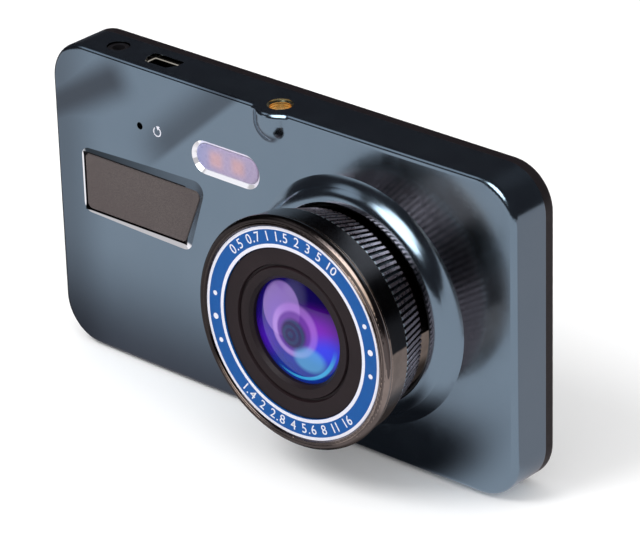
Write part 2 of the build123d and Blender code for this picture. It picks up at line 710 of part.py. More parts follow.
def barrel_lock_ring():
    """Ring nut that holds the barrel from inside the cover."""
    ring = tube(NECK_R + 0.02, 22.4, 0.0, 1.3)
    for i in range(4):
        angle = 45 + 90 * i
        ring -= LENS * Rot(0, 0, angle) * Pos(22.4, 0, 0.7) * Box(2, 3, 2)
    return ring


def dust_seal():
    """Foam ring in the gap between the collar and the barrel's neck."""
    return tube(NECK_R + 0.02, COLLAR_BORE_R - 0.02, 1.5, 3.2)


def label_ring():
    """Printed ring around the lens."""
    return tube(LABEL_INNER_R, LABEL_OUTER_R, LABEL_TOP_U - LABEL_T, LABEL_TOP_U)


def face_plate():
    """Dark stepped plate inside the label, and the short tube behind it."""
    return turned([
        (TUBE_R, PLATE_BOTTOM_U), (TUBE_R, PLATE_SEAT_U), (LABEL_INNER_R - 0.05, PLATE_SEAT_U),
        (LABEL_INNER_R - 0.05, PLATE_TOP_U - 0.15), (LABEL_INNER_R - 0.2, PLATE_TOP_U),
        (GROOVE_R + 0.35, PLATE_TOP_U), (GROOVE_R + 0.15, PLATE_TOP_U - 0.6),
        (GROOVE_R - 0.2, PLATE_TOP_U - 0.6), (GROOVE_R - 0.45, PLATE_TOP_U - 0.1),
        (APERTURE_R + 0.6, PLATE_TOP_U - 0.25),
        (APERTURE_R, PLATE_TOP_U - 0.9), (APERTURE_R, 18.9), (WINDOW_FLANGE_R + 0.05, 18.9),
        (WINDOW_FLANGE_R + 0.05, PLATE_BOTTOM_U),
    ])


def lens_window():
    """Domed front glass, its flange under the face plate."""
    outer = cap_lens(APERTURE_R - 0.05, 17.0, WINDOW_APEX_U - 18.9, 1.9, 1.9)
    return outer + tube(APERTURE_R - 0.2, WINDOW_FLANGE_R, 17.0, 18.85)


def lens_cell():
    """Stepped black cell that carries the elements, threaded M12 at the rear."""
    return turned([
        (4.9, -0.9), (M12_R, -0.9), (M12_R, 6.0), (11.3, 8.0), (11.3, 16.4), (9.9, 16.4), (9.9, 12.0),
        (8.6, 12.0), (8.6, 11.6), (7.1, 11.6), (7.1, 8.2), (3.6, 8.2), (3.6, 3.4), (4.9, 3.4),
    ])


def lens_element_front():
    """Large first element."""
    return cap_lens(9.85, 12.05, 2.1, 0.9, 1.6)


def lens_element_middle():
    """Second element."""
    return cap_lens(7.05, 8.9, 0.9, -0.5, 1.4)


def lens_element_rear():
    """Last element, close to the sensor."""
    return cap_lens(4.85, 0.4, 0.7, -0.6, 1.5)


def aperture_stop():
    """Thin stop between the elements."""
    return tube(2.0, 7.05, 8.2, 8.35)


def lens_holder():
    """Holder on the board that takes the cell's thread and covers the sensor."""
    bottom_u = -BOARD_FRONT_Y
    base = Pos(0, 0, (bottom_u - 0.6) / 2) * Box(16, 16, -0.6 - bottom_u)
    holder = base + Pos(0, 0, 1.5) * Cylinder(8.0, 4.4)
    for s in (-1, 1):
        holder += Pos(s * HOLDER_EAR_DX, 0, bottom_u + 1.6) * Cylinder(2.3, 3.2)
        holder += Pos(s * 8.6, 0, bottom_u + 0.8) * Box(3, 3.4, 1.6)
    holder -= Pos(0, 0, (bottom_u - 1.55) / 2) * Box(12, 12, -1.55 - bottom_u)
    holder -= Pos(0, 0, 0) * Cylinder(4.6, 10)
    holder -= Pos(0, 0, 4.0) * Cylinder(M12_R + 0.02, 10)
    for s in (-1, 1):
        holder -= Pos(s * HOLDER_EAR_DX, 0, bottom_u + 1.5) * Cylinder(SCREW_R, 3.0)
    return LENS * holder


def ir_filter():
    """Filter glass over the sensor."""
    return LENS * Pos(0, 0, -1.75) * Box(10.5, 10.5, 0.4)


def image_sensor():
    """Image sensor package."""
    return LENS * Pos(0, 0, 0.45 - BOARD_FRONT_Y) * Box(8, 7, 0.9)


# --- controls ---

def button_cap(x):
    """Key cap with a retaining flange and a stem that works its switch."""
    low = BOTTOM_Z - BUTTON_PROUD
    wall_top = BOTTOM_Z + WALL
    cap = Pos(x, BUTTON_Y, low) * extrude(SlotOverall(BUTTON_W, BUTTON_D), amount=wall_top - low + 0.05)
    rim = cap.edges().filter_by_position(Axis.Z, low - 0.01, low + 0.01)
    cap = fillet(rim, 0.35)
    flange = extrude(SlotOverall(BUTTON_W + 1.6, BUTTON_D + 0.9), amount=0.6)
    cap += Pos(x, BUTTON_Y, wall_top + 0.05) * flange
    return cap + block(x - 0.7, x + 0.7, BUTTON_Y - 0.4, BUTTON_Y + 0.4, wall_top + 0.6, BOARD_BOTTOM + 0.9)


def button_switches():
    """Six side-acting switches on the board's lower edge."""
    switches = []
    for x in BUTTON_XS:
        z0, z1 = BOARD_BOTTOM + 0.2, BOARD_BOTTOM + 3.0
        body = block(x - 2.3, x + 2.3, BUTTON_Y - 1.2, BOARD_FRONT_Y, z0, z1)
        well = block(x - 0.8, x + 0.8, BUTTON_Y - 0.5, BUTTON_Y + 0.5, BOARD_BOTTOM, BOARD_BOTTOM + 1.6)
        switches.append(body - well)
    return switches


NODES = {
    "front_cover": front_cover,
    "rear_frame": rear_frame,
    "thread_insert": thread_insert,
    "trim_plate": trim_plate,
    "trim_adhesive": trim_adhesive,
    "light_window": light_window,
    "case_screws": case_screws,
    "board_screws": board_screws,
    "holder_screws": holder_screws,
    "display_glass": display_glass,
    "display_adhesive": display_adhesive,
    "lcd_panel": lcd_panel,
    "backlight_unit": backlight_unit,
    "lcd_flex": lcd_flex,
    "lcd_connector": lcd_connector,
    "main_board": main_board,
    "processor": processor,
    "memory_chips": memory_chips,
    "power_parts": power_parts,
    "usb_receptacle": usb_receptacle,
    "usb_tongue": usb_tongue,
    "av_jack": av_jack,
    "reset_switch": reset_switch,
    "reset_plunger": reset_plunger,
    "card_socket": card_socket,
    "memory_card": memory_card,
    "battery": battery,
    "battery_pad": battery_pad,
    "battery_lead": battery_lead,
    "speaker": speaker,
    "microphone": microphone,
    "led_board": led_board,
    "fill_leds": fill_leds,
    "led_header": led_header,
    "lens_barrel": lens_barrel,
    "knurled_ring": knurled_ring,
    "barrel_lock_ring": barrel_lock_ring,
    "dust_seal": dust_seal,
    "label_ring": label_ring,
    "face_plate": face_plate,
    "lens_window": lens_window,
    "lens_cell": lens_cell,
    "lens_element_front": lens_element_front,
    "lens_element_middle": lens_element_middle,
    "lens_element_rear": lens_element_rear,
    "aperture_stop": aperture_stop,
    "lens_holder": lens_holder,
    "ir_filter": ir_filter,
    "image_sensor": image_sensor,
    "button_switches": button_switches,
}


def write(name, shape):
    """Write one node, a single solid or a group of separate ones."""
    if isinstance(shape, list):
        shape = Compound(children=[Part(item.wrapped) for item in shape])
    export_step(shape, f"parts/{name}.step")


def main():
    os.makedirs("parts", exist_ok=True)
    for name, make in NODES.items():
        write(name, make())
    for name, x in zip(BUTTON_NAMES, BUTTON_XS):
        write(name, button_cap(x))


main()
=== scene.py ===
import math

import bmesh
import bpy
from mathutils import Matrix, Vector


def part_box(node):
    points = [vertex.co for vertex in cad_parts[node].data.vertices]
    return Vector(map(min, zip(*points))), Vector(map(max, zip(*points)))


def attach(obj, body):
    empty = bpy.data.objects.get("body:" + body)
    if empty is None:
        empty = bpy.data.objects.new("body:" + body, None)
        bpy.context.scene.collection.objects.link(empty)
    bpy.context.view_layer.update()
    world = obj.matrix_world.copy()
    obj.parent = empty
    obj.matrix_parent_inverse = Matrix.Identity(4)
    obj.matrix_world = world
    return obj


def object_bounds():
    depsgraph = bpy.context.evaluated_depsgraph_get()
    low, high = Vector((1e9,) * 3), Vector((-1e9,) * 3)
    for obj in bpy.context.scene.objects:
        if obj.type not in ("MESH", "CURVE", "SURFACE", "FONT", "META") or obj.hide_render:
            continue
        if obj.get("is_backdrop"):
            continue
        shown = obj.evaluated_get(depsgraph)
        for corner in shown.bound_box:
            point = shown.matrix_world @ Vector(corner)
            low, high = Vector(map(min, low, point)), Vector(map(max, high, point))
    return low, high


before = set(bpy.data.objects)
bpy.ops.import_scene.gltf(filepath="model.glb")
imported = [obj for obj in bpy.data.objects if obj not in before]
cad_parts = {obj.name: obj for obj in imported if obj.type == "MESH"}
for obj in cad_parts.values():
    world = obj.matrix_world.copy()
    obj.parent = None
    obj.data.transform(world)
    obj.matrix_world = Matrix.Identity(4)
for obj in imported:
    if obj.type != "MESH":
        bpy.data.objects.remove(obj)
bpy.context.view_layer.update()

MM = 0.001
HOUSING = "housing"


# --- where things are, in millimetres of the CAD frame ---

def box_mm(node):
    """Lowest and highest corner of a CAD node in millimetres."""
    low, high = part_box(node)
    return low / MM, high / MM


def centre_mm(node):
    low, high = box_mm(node)
    return (low + high) / 2


LABEL_LOW, LABEL_HIGH = box_mm("label_ring")
AXIS_X = (LABEL_LOW.x + LABEL_HIGH.x) / 2
AXIS_Z = (LABEL_LOW.z + LABEL_HIGH.z) / 2
LABEL_FRONT = LABEL_LOW.y
LABEL_OUTER = (LABEL_HIGH.x - LABEL_LOW.x) / 2
COVER_FRONT = box_mm("front_cover")[0].y
PLATE_LOW, PLATE_HIGH = box_mm("face_plate")
PLATE_GAP = 0.05           # between the face plate and the printed ring
LABEL_INNER = (PLATE_HIGH.x - PLATE_LOW.x) / 2 + PLATE_GAP
TRIM_LOW, TRIM_HIGH = box_mm("trim_plate")
WINDOW_LOW, WINDOW_HIGH = box_mm("light_window")
LED_LOW, LED_HIGH = box_mm("fill_leds")
BARREL_FRONT = box_mm("lens_barrel")[0].y
BEZEL_DEPTH = 2.25          # the rolled bezel ends this far behind the front of the barrel
KNURL_LOW, KNURL_HIGH = box_mm("knurled_ring")
USB_LOW, USB_HIGH = box_mm("usb_receptacle")
RESET = centre_mm("reset_plunger")
INSERT_TOP = box_mm("thread_insert")[1].z
JACK_LOW, JACK_HIGH = box_mm("av_jack")


# --- node materials ---

class Finish:
    """A node material that ends in one Principled shader, and short calls to build its pattern."""

    def __init__(self, name):
        self.material = bpy.data.materials.new(name)
        self.material.use_nodes = True
        self.nodes = self.material.node_tree.nodes
        self.links = self.material.node_tree.links
        self.shader = self.nodes["Principled BSDF"]
        coords = self.node("ShaderNodeTexCoord")
        self.place = self.vector("SCALE", coords.outputs["Object"], scale=1 / MM)
        split = self.node("ShaderNodeSeparateXYZ")
        self.join(self.place, split.inputs[0])
        self.x, self.y, self.z = split.outputs

    def node(self, kind, **settings):
        made = self.nodes.new(kind)
        for key, value in settings.items():
            setattr(made, key, value)
        return made

    def join(self, value, socket):
        if isinstance(value, bpy.types.NodeSocket):
            self.links.new(value, socket)
        elif hasattr(value, "__len__") and len(value) == 3 and socket.type == "RGBA":
            socket.default_value = (*value, 1)
        else:
            socket.default_value = value

    def vector(self, operation, first, second=None, scale=None):
        made = self.node("ShaderNodeVectorMath", operation=operation)
        self.join(first, made.inputs[0])
        if second is not None:
            self.join(second, made.inputs[1])
        if scale is not None:
            self.join(scale, made.inputs["Scale"])
        wanted = "Value" if operation in ("DOT_PRODUCT", "LENGTH", "DISTANCE") else "Vector"
        return made.outputs[wanted]

    def math(self, operation, *values, clamp=False):
        made = self.node("ShaderNodeMath", operation=operation, use_clamp=clamp)
        for value, socket in zip(values, made.inputs):
            self.join(value, socket)
        return made.outputs[0]

    def step(self, value, low, high, start=0.0, end=1.0):
        """Smooth step: start below low, end above high. low may be above high."""
        made = self.node("ShaderNodeMapRange", interpolation_type="SMOOTHSTEP")
        if low > high:
            low, high, start, end = high, low, end, start
        for socket, number in zip(made.inputs[:5], (value, low, high, start, end)):
            self.join(number, socket)
        return made.outputs[0]

    def mix(self, share, below, above, kind="MIX"):
        made = self.node("ShaderNodeMix", data_type="RGBA", blend_type=kind)
        self.join(share, made.inputs[0])
        self.join(below, made.inputs[6])
        self.join(above, made.inputs[7])
        return made.outputs[2]

    def stretched(self, amounts):
        return self.vector("MULTIPLY", self.place, amounts)

    def noise(self, scale, detail=2.0, roughness=0.5, at=None, distortion=0.0):
        made = self.node("ShaderNodeTexNoise")
        self.join(self.place if at is None else at, made.inputs["Vector"])
        wanted = {"Scale": scale, "Detail": detail, "Roughness": roughness, "Distortion": distortion}
        for name, value in wanted.items():
            made.inputs[name].default_value = value
        return made.outputs["Fac"]

    def cells(self, scale):
        made = self.node("ShaderNodeTexVoronoi", feature="F1")
        self.join(self.place, made.inputs["Vector"])
        made.inputs["Scale"].default_value = scale
        return made.outputs["Distance"]

    def edge(self, radius):
        """About 1 on sharp edges and 0 on open faces, from how far a bevel would turn the normal."""
        bevel = self.node("ShaderNodeBevel", samples=4)
        bevel.inputs["Radius"].default_value = radius * MM
        true_normal = self.node("ShaderNodeNewGeometry").outputs["Normal"]
        cosine = self.vector("DOT_PRODUCT", bevel.outputs["Normal"], true_normal)
        return self.step(cosine, 0.985, 0.86)

    def bump(self, height, depth, strength=1.0, after=None):
        """depth is the height of the relief in millimetres."""
        made = self.node("ShaderNodeBump")
        made.inputs["Strength"].default_value = strength
        made.inputs["Distance"].default_value = depth * MM
        self.join(height, made.inputs["Height"])
        if after is not None:
            self.join(after, made.inputs["Normal"])
        return made.outputs["Normal"]

    def length(self, first, second):
        squares = [self.math("MULTIPLY", shaded_side, shaded_side) for shaded_side in (first, second)]
        return self.math("SQRT", self.math("ADD", *squares))

    def disc(self, centre, radius, soft, squash=(1.0, 1.0)):
        """1 inside a circle of the lens's front plane. centre is (x, z) from the axis."""
        dx = self.math("MULTIPLY", self.math("SUBTRACT", self.x, AXIS_X + centre[0]), 1 / squash[0])
        dz = self.math("MULTIPLY", self.math("SUBTRACT", self.z, AXIS_Z + centre[1]), 1 / squash[1])
        return self.step(self.length(dx, dz), radius + soft / 2, radius - soft / 2)

    def turned(self, x, z, out_x, out_z):
        """Distance across and along a line through a point of the face."""
        dx, dz = self.math("SUBTRACT", self.x, x), self.math("SUBTRACT", self.z, z)
        across = self.math("ADD", self.math("MULTIPLY", dx, out_x), self.math("MULTIPLY", dz, out_z))
        along = self.math("ADD", self.math("MULTIPLY", dx, out_z), self.math("MULTIPLY", dz, -out_x))
        return across, along

    def mirrored(self, direction):
        """How far the mirror image seen on the surface lies towards a direction, -1 to 1."""
        geometry = self.node("ShaderNodeNewGeometry")
        normal, back = geometry.outputs["Normal"], geometry.outputs["Incoming"]
        cosine = self.vector("DOT_PRODUCT", normal, back)
        twice = self.vector("SCALE", normal, scale=self.math("MULTIPLY", cosine, 2.0))
        seen = self.vector("SUBTRACT", twice, back)
        return self.vector("DOT_PRODUCT", seen, Vector(direction).normalized())

    def lens_radius(self):
        dx = self.math("SUBTRACT", self.x, AXIS_X)
        dz = self.math("SUBTRACT", self.z, AXIS_Z)
        return self.length(dx, dz)

    def lens_angle(self):
        dx = self.math("SUBTRACT", self.x, AXIS_X)
        dz = self.math("SUBTRACT", self.z, AXIS_Z)
        return self.math("ARCTAN2", dz, dx)

    def within(self, low, high, grow, soft=0.05):
        """1 inside a box of x and z, grown by some millimetres."""
        mask = self.step(self.x, low.x - grow - soft, low.x - grow)
        mask = self.math("MULTIPLY", mask, self.step(self.x, high.x + grow + soft, high.x + grow))
        mask = self.math("MULTIPLY", mask, self.step(self.z, low.z - grow - soft, low.z - grow))
        return self.math("MULTIPLY", mask, self.step(self.z, high.z + grow + soft, high.z + grow))

    def product(self, *values):
        total = values[0]
        for value in values[1:]:
            total = self.math("MULTIPLY", total, value)
        return total

    def set(self, **values):
        for key, value in values.items():
            self.join(value, self.shader.inputs[key.replace("_", " ").title().replace("Ior", "IOR")])


def colour(red, green, blue):
    """Linear colour of an sRGB colour given as 0 to 255."""
    parts = []
    for value in (red, green, blue):
        share = value / 255
        parts.append(share / 12.92 if share <= 0.04045 else ((share + 0.055) / 1.055) ** 2.4)
    return tuple(parts)


FRONT_Y = (-2.2, -2.5)      # the front of the cover starts here, softly
PAINTED_REFLECTION_SHADE = (0.045, 0.042, 0.052)
PAINTED_SLOPE_SHADE = (0.03, 0.05, 0.065)
LIT_CUT_METAL = (0.90, 0.90, 0.92)
PAINTED_RIM_GLINT = (0.80, 0.79, 0.83)
HOLE_PLAY = 0.2             # between a socket and its opening


def painted_face_reflections(f, front):
    """Painted reflection of dark surroundings: soft darker sweeps across the upper left of the face, and
    along its left edge.
    """
    across, along = f.turned(-20.0, -9.0, 0.65, -0.76)
    band = f.product(f.step(across, -8.5, -0.5), f.step(across, 2.0, 0.3), f.step(along, 21.0, 7.0), 0.55)
    across, along = f.turned(-46.5, -8.6, 0.50, -0.86)
    patch = f.product(f.step(across, -6.5, -1.0), f.step(across, 6.0, 0.0), f.step(along, -14.0, -6.0), 0.72)
    edge = f.step(f.x, -43.0, -56.0, 0.0, 0.42)
    return f.math("MULTIPLY", f.math("MAXIMUM", f.math("MAXIMUM", band, patch), edge), front)


def shaded_socket_opening(f, low, high):
    """1 in the opening of the cover round a socket."""
    masks = []
    for along, start, end in ((f.x, low.x, high.x), (f.y, low.y, high.y)):
        away = f.math("ABSOLUTE", f.math("SUBTRACT", along, (start + end) / 2))
        reach = (end - start) / 2 + HOLE_PLAY
        masks.append(f.step(away, reach + 0.05, reach - 0.05))
    return f.product(*masks, f.step(f.z, -0.02, -0.08), f.step(f.z, -3.0, -2.0))


def cover_paint():
    """Blue-grey metallic lacquer with fine flake, a little lighter on worn edges, and bright cut bevels;
    painted reflection and shade darken the face in sweeps, the trim pocket's slopes, the gap round the trim
    plate and the socket openings, and a painted highlight makes the cut bevels glow.
    """
    f = Finish("cover_paint")
    drift = f.noise(0.045, 3.0, 0.6)
    base = f.mix(drift, (0.31, 0.43, 0.54), (0.37, 0.49, 0.60))
    flake = f.noise(9.0, 2.0, 0.7)
    base = f.mix(f.step(flake, 0.35, 0.75, 0.0, 0.12), base, (0.62, 0.70, 0.78))
    front = f.step(f.y, *FRONT_Y)
    # painted reflection: dark sweeps mixed into the colour of the face
    base = f.mix(painted_face_reflections(f, front), base, PAINTED_REFLECTION_SHADE)
    wear = f.math("MULTIPLY", f.edge(0.25), f.step(f.noise(0.5, 4.0, 0.7), 0.42, 0.66, 0.1, 0.7))
    base = f.mix(wear, base, (0.58, 0.66, 0.72))
    # the cut rims of the two pockets in the face are bare bright metal, with a painted highlight: they glow,
    # and on the trim pocket only the left and bottom rims are bright, where the light falls on them
    normal = f.node("ShaderNodeNewGeometry").outputs["True Normal"]
    facing = f.math("ABSOLUTE", f.vector("DOT_PRODUCT", normal, (0.0, 1.0, 0.0)))
    tilted = f.math("MULTIPLY", f.step(facing, 0.98, 0.93), f.step(facing, 0.10, 0.20))
    left = f.step(f.x, TRIM_LOW.x + 0.5, TRIM_LOW.x)
    bottom = f.step(f.z, TRIM_LOW.z + 0.5, TRIM_LOW.z)
    trim_rim = f.math("MULTIPLY", f.within(TRIM_LOW, TRIM_HIGH, 1.9), f.math("MAXIMUM", left, bottom))
    window_rim = f.within(WINDOW_LOW, WINDOW_HIGH, 0.75)
    cut_rim_highlight = f.product(tilted, front, f.math("MAXIMUM", trim_rim, window_rim))
    base = f.mix(cut_rim_highlight, base, LIT_CUT_METAL)
    # painted shade: the lacquered upper and right slopes of the trim pocket fade from dark to light
    uncut = f.math("SUBTRACT", 1.0, cut_rim_highlight, clamp=True)
    sloped = f.product(f.step(facing, 0.995, 0.98), f.within(TRIM_LOW, TRIM_HIGH, 4.2), front, uncut)
    fade = f.step(f.x, TRIM_LOW.x, TRIM_HIGH.x + 2, 0.9, 0.25)
    base = f.mix(f.math("MULTIPLY", sloped, fade), base, PAINTED_SLOPE_SHADE)
    # painted shade: the gap round the trim plate is painted black, up to where its right side slants
    slant = f.step(f.x, TRIM_HIGH.x - 3.4, TRIM_HIGH.x - 3.8)
    shaded_gap = f.math("MULTIPLY", f.within(TRIM_LOW, TRIM_HIGH, 0.32), slant)
    base = f.mix(shaded_gap, base, (0.01, 0.01, 0.012))
    cut_rim_highlight = f.math("MULTIPLY", cut_rim_highlight, f.math("SUBTRACT", 1.0, shaded_gap, clamp=True))
    # painted shade: the walls of the socket openings are painted near black
    for low, high in ((USB_LOW, USB_HIGH), (JACK_LOW, JACK_HIGH)):
        base = f.mix(shaded_socket_opening(f, low, high), base, (0.008, 0.008, 0.009))
    smear = f.step(f.noise(0.16, 3.0, 0.6, distortion=0.6), 0.35, 0.75, 0.13, 0.18)
    rough = f.math("ADD", smear, f.step(flake, 0.3, 0.8, 0.0, 0.05))
    shine = f.node("ShaderNodeMix", data_type="FLOAT")
    f.join(cut_rim_highlight, shine.inputs[0])
    f.join(rough, shine.inputs[2])
    f.join(0.12, shine.inputs[3])
    f.set(base_color=base, metallic=1.0, roughness=shine.outputs[0], coat_weight=0.12, coat_roughness=0.12,
          normal=f.bump(f.noise(6.0, 3.0, 0.6), 0.004, 0.2))
    # painted highlight: the cut rims glow
    f.set(emission_color=PAINTED_RIM_GLINT, emission_strength=f.math("MULTIPLY", cut_rim_highlight, 0.62))
    return f.material


def plastic(name, low, high, rough=(0.35, 0.5), grain=9.0, depth=0.02, coat=0.0):
    """Moulded plastic with a fine texture, uneven shine and slightly polished edges."""
    f = Finish(name)
    base = f.mix(f.noise(0.3, 4.0, 0.6), low, high)
    wear = f.edge(0.15)
    base = f.mix(f.math("MULTIPLY", wear, 0.25), base, tuple(min(1.0, 2.2 * c + 0.02) for c in high))
    texture = f.noise(grain, 3.0, 0.65)
    f.set(base_color=base, roughness=f.step(f.noise(0.8, 3.0), 0.3, 0.7, *rough), coat_weight=coat,
          normal=f.bump(texture, depth, 0.6))
    return f.material


def metal(name, low, high, rough=(0.2, 0.35), brushed=(1.0, 1.0, 1.0), scale=3.0, depth=0.004, coat=0.0):
    """Plated or bare metal: brushed relief, smudges in the shine, lighter worn edges."""
    f = Finish(name)
    base = f.mix(f.noise(0.25, 4.0, 0.65), low, high)
    wear = f.math("MULTIPLY", f.edge(0.12), f.step(f.noise(1.4, 3.0), 0.4, 0.65, 0.1, 0.8))
    base = f.mix(wear, base, tuple(min(1.0, 1.5 * c + 0.08) for c in high))
    lines = f.noise(scale, 4.0, 0.7, at=f.stretched(brushed))
    f.set(base_color=base, metallic=1.0, roughness=f.step(f.noise(0.5, 4.0, 0.6), 0.3, 0.7, *rough),
          coat_weight=coat, normal=f.bump(lines, depth, 0.4))
    return f.material


def turned_metal(name, low, high, rough, pitch=0.12, depth=0.004, warm=None, painted_barrel_light=False):
    """Metal turned on a lathe about the lens axis: fine grooves run round it."""
    f = Finish(name)
    base = f.mix(f.noise(0.12, 4.0, 0.65, distortion=0.5), low, high)
    bezel_end = BARREL_FRONT + BEZEL_DEPTH
    if painted_barrel_light:
        # painted shade: the left and upper left of the barrel are darkened
        shaded_side = f.math("COSINE", f.math("SUBTRACT", f.lens_angle(), math.radians(150)))
        base = f.mix(f.step(shaded_side, -0.3, 0.55, 0.0, 0.72), base, (0.03, 0.025, 0.026))
        body = f.step(f.y, bezel_end - 0.15, bezel_end + 0.15)
        base = f.mix(body, base, (0.055, 0.043, 0.04))
    if warm is not None:
        base = f.mix(f.math("MULTIPLY", f.edge(0.18), 0.75), base, warm)
    across = f.math("ADD", f.lens_radius(), f.y)
    grooves = f.math("SINE", f.math("MULTIPLY", across, 2 * math.pi / pitch))
    smudge = f.step(f.noise(0.22, 5.0, 0.65, distortion=1.2), 0.35, 0.7, *rough)
    f.set(base_color=base, metallic=1.0, roughness=smudge, normal=f.bump(grooves, depth, 0.35))
    if painted_barrel_light:
        # painted reflection: the side of the barrel that faces down glows as if mirroring the pale paper it
        # stands on
        seen = f.mirrored((-0.6, 0.0, -0.8))
        painted_floor_reflection = f.product(f.step(seen, -0.03, 0.0), f.step(seen, 0.58, 0.36, 0.12, 0.6),
                         f.step(f.x, AXIS_X + 8, AXIS_X + 12))
        # painted highlight: the rolled bezel glows where it catches the main light
        lit = f.step(f.mirrored((0.34, -0.73, 0.60)), 0.84, 0.965)
        ridge_highlight = f.math("MULTIPLY", lit, f.step(f.y, bezel_end + 0.15, bezel_end - 0.15))
        mottle = f.step(f.noise(0.35, 5.0, 0.7), 0.3, 0.7, 0.75, 1.0)
        shown = f.mix(ridge_highlight, colour(146, 131, 124), colour(232, 204, 184))
        shown = f.mix(1.0, shown, f.mix(mottle, (0, 0, 0), (1, 1, 1)), "MULTIPLY")
        glow = f.math("MULTIPLY", f.math("MAXIMUM", painted_floor_reflection, ridge_highlight), 0.85)
        f.set(emission_color=shown, emission_strength=glow)
    return f.material


THREAD_LINES = 0.5          # spacing of the fine lines in the bore


def insert_brass():
    """Bright turned brass; a painted highlight makes the bottom of the bore glow, with its thread showing as
    fine lines.
    """
    f = Finish("insert_brass")
    base = f.mix(f.noise(0.4, 4.0), (0.74, 0.50, 0.20), (0.92, 0.70, 0.38))
    thread = f.math("SINE", f.math("MULTIPLY", f.z, 2 * math.pi / THREAD_LINES))
    f.set(base_color=base, metallic=1.0, roughness=f.step(f.noise(1.0, 4.0), 0.3, 0.7, 0.16, 0.3),
          normal=f.bump(thread, 0.05, 0.5))
    # painted highlight: the deeper bore glows along the thread lines
    deep_glint = f.step(f.z, INSERT_TOP - 0.8, INSERT_TOP - 2.6, 0.01, 0.42)
    lines = f.step(thread, -0.8, 0.8, 0.55, 1.0)
    f.set(emission_color=(0.95, 0.76, 0.46), emission_strength=f.math("MULTIPLY", deep_glint, lines))
    return f.material


def usb_shell():
    """Plated shell with a painted highlight on its mouth, which glows, and painted shade making the inside
    dark.
    """
    f = Finish("usb_shell")
    mouth_highlight = f.step(f.z, USB_HIGH.z - 0.10, USB_HIGH.z - 0.03)
    plated = f.mix(f.noise(1.5, 3.0), (0.80, 0.74, 0.62), (0.95, 0.90, 0.80))
    # painted shade: the inside is near black; painted highlight: the mouth is bright
    base = f.mix(mouth_highlight, (0.02, 0.02, 0.022), plated)
    f.set(base_color=base, metallic=1.0, roughness=f.step(f.noise(1.0, 4.0), 0.3, 0.7, 0.2, 0.4),
          normal=f.bump(f.noise(5.0), 0.006, 0.3))
    f.set(emission_color=(0.80, 0.75, 0.66), emission_strength=f.math("MULTIPLY", mouth_highlight, 0.4))
    return f.material


KNURL_FRONT_R = 21.6        # root of the ribs at the front of the ring
KNURL_FALL = 2.25           # and how much smaller it is at the rear


def knurl_metal():
    """Grip ring: painted shade makes the grooves near black against lighter warm rib tops, and a painted
    glint brightens the front ends of the ribs.
    """
    f = Finish("knurl_metal")
    radius = f.lens_radius()
    length = KNURL_HIGH.y - KNURL_LOW.y
    share = f.math("DIVIDE", f.math("SUBTRACT", f.y, KNURL_LOW.y), length)
    root = f.math("SUBTRACT", KNURL_FRONT_R, f.math("MULTIPLY", share, KNURL_FALL))
    top = f.step(f.math("SUBTRACT", radius, root), 0.2, 0.34)
    base = f.mix(f.noise(0.6, 3.0), (0.46, 0.33, 0.33), (0.62, 0.46, 0.46))
    # painted shade in the grooves between the ribs
    base = f.mix(top, (0.012, 0.011, 0.012), base)
    # painted glint on the front ends of the ribs
    tip_glint = f.math("MULTIPLY", f.step(f.y, KNURL_LOW.y + 0.5, KNURL_LOW.y + 0.3), top)
    base = f.mix(tip_glint, base, (0.85, 0.82, 0.8))
    f.set(base_color=base, metallic=1.0, roughness=f.step(f.noise(1.0, 3.0), 0.3, 0.7, 0.24, 0.36),
          normal=f.bump(f.noise(6.0, 3.0), 0.006, 0.4))
    return f.material


def trim_finish():
    """Dark warm grey plate with a fine sparkling grain."""
    f = Finish("trim_finish")
    grain = f.noise(7.0, 2.0, 0.8, at=f.stretched((1.0, 1.0, 1.6)))
    base = f.mix(f.step(grain, 0.3, 0.72), colour(70, 63, 63), colour(112, 103, 101))
    base = f.mix(f.step(f.noise(0.08, 3.0), 0.35, 0.7, 0.0, 0.35), base, colour(84, 74, 74))
    edge = f.edge(0.12)
    base = f.mix(edge, base, colour(24, 20, 22))
    f.set(base_color=base, metallic=0.35, roughness=f.step(grain, 0.3, 0.7, 0.42, 0.6),
          normal=f.bump(grain, 0.02, 0.5))
    return f.material


def window_plastic():
    """Frosted lilac window, with the fill lights behind it showing as two soft peach patches."""
    f = Finish("window_plastic")
    haze = f.noise(0.5, 4.0, 0.6)
    base = f.mix(haze, colour(146, 136, 168), colour(166, 150, 178))
    base = f.mix(f.step(f.x, WINDOW_LOW.x + 8.0, WINDOW_LOW.x, 0.0, 0.7), base, colour(120, 132, 176))
    middle = (LED_LOW.z + LED_HIGH.z) / 2
    for led_x in (LED_LOW.x + 1.5, LED_HIGH.x - 1.5):
        dx = f.math("ABSOLUTE", f.math("SUBTRACT", f.x, led_x))
        dz = f.math("ABSOLUTE", f.math("SUBTRACT", f.z, middle))
        patch = f.math("MULTIPLY", f.step(dx, 2.6, 0.5), f.step(dz, 2.5, 0.5))
        base = f.mix(f.math("MULTIPLY", patch, 0.7), base, colour(192, 150, 148))
    grain = f.cells(0.9)
    f.set(base_color=base, roughness=f.step(grain, 0.1, 0.6, 0.22, 0.3), coat_weight=0.6, coat_roughness=0.05,
          subsurface_weight=0.15, normal=f.bump(f.noise(5.0), 0.01, 0.3))
    f.shader.inputs["Subsurface Radius"].default_value = (0.8 * MM, 0.6 * MM, 0.8 * MM)
    return f.material


def label_blue():
    """Printed blue film, faintly mottled."""
    f = Finish("label_print")
    mottle = f.noise(1.2, 4.0, 0.6)
    base = f.mix(mottle, colour(0, 68, 134), colour(6, 80, 148))
    f.set(base_color=base, roughness=f.step(mottle, 0.3, 0.7, 0.4, 0.5), specular_ior_level=0.25,
          normal=f.bump(f.noise(4.0), 0.006, 0.3))
    return f.material


